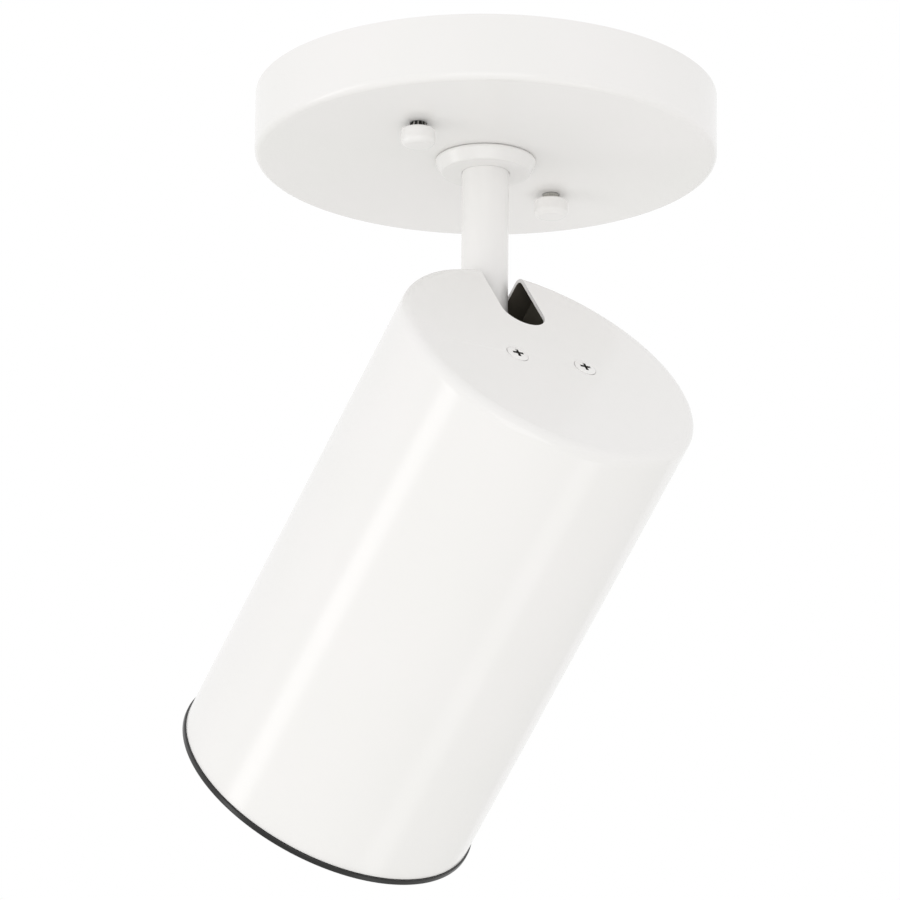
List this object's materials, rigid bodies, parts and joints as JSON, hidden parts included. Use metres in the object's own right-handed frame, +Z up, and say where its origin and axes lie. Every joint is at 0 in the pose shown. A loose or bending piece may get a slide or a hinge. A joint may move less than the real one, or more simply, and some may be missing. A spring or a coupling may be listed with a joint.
{
  "type": "surface mounted ceiling spotlight",
  "caption": "Surface mounted ceiling spotlight: a round canopy and a short turning stem carry a slotted cylinder head that tilts, with a dark stepped baffle at its mouth.",
  "frame": {"origin": "centre of the box screw pattern, on the crossbar's top face where it meets the outlet box", "axes": "+Z up along the stem and the pan axis, out of the ceiling side; +X along the tilt axis; at rest the head's open end leans towards +Y"},
  "size_m": [0.127, 0.1709, 0.2116],
  "materials": {
    "white_paint": "satin white powder coat",
    "black_paint": "satin black paint",
    "green_paint": "green dip on the earth screw",
    "zinc_steel": "bright zinc plate",
    "die_cast": "tumbled die casting",
    "brass": "plain pressed brass",
    "lamp_aluminium": "bright rolled aluminium",
    "solder": "dull solder",
    "porcelain": "glazed white porcelain",
    "black_glass": "black glass insulator",
    "lamp_glass": "frosted face, silvered inside behind it",
    "red_fibre": "vulcanised fibre",
    "black_fibre": "black fibre",
    "black_plastic": "moulded black plastic"
  },
  "bodies": {
    "canopy": {"canopy_dish": "white_paint", "crossbar": "zinc_steel", "crossbar_studs": "zinc_steel", "stud_locknuts": "zinc_steel", "stud_washers": "black_fibre", "cap_nuts": "white_paint", "ground_screw": "green_paint", "pan_friction_washer": "red_fibre", "pan_stop_pin": "zinc_steel"},
    "stem": {"stem_collar": "white_paint", "stem_tube": "white_paint", "stem_nipple": "zinc_steel", "pan_stop_washer": "zinc_steel", "pan_spring_washer": "zinc_steel", "nipple_locknut": "zinc_steel", "wire_bushing": "black_plastic", "swivel_knuckle": "die_cast"},
    "head": {"head_shell": "white_paint", "crown_screws": "white_paint", "pivot_bracket": "black_paint", "pivot_bolt": "zinc_steel", "pivot_friction_washers": "red_fibre", "pivot_spring_washer": "zinc_steel", "pivot_nut": "zinc_steel", "socket_standoffs": "zinc_steel", "socket_body": "porcelain", "socket_screw_shell": "brass", "socket_contact": "brass", "lamp_cap": "lamp_aluminium", "lamp_insulator": "black_glass", "lamp_tip": "solder", "lamp_bulb": "lamp_glass", "baffle": "black_paint"}
  },
  "joints": [
    {"name": "pan", "type": "hinge", "parent": "canopy", "child": "stem", "pos_m": [0, 0, 0], "axis": [0, 0, 1], "range_deg": [-170, 170]},
    {"name": "tilt", "type": "hinge", "parent": "stem", "child": "head", "pos_m": [0, 0, -0.0829], "axis": [1, 0, 0], "range_deg": [-51.1, 38.9]}
  ]
}
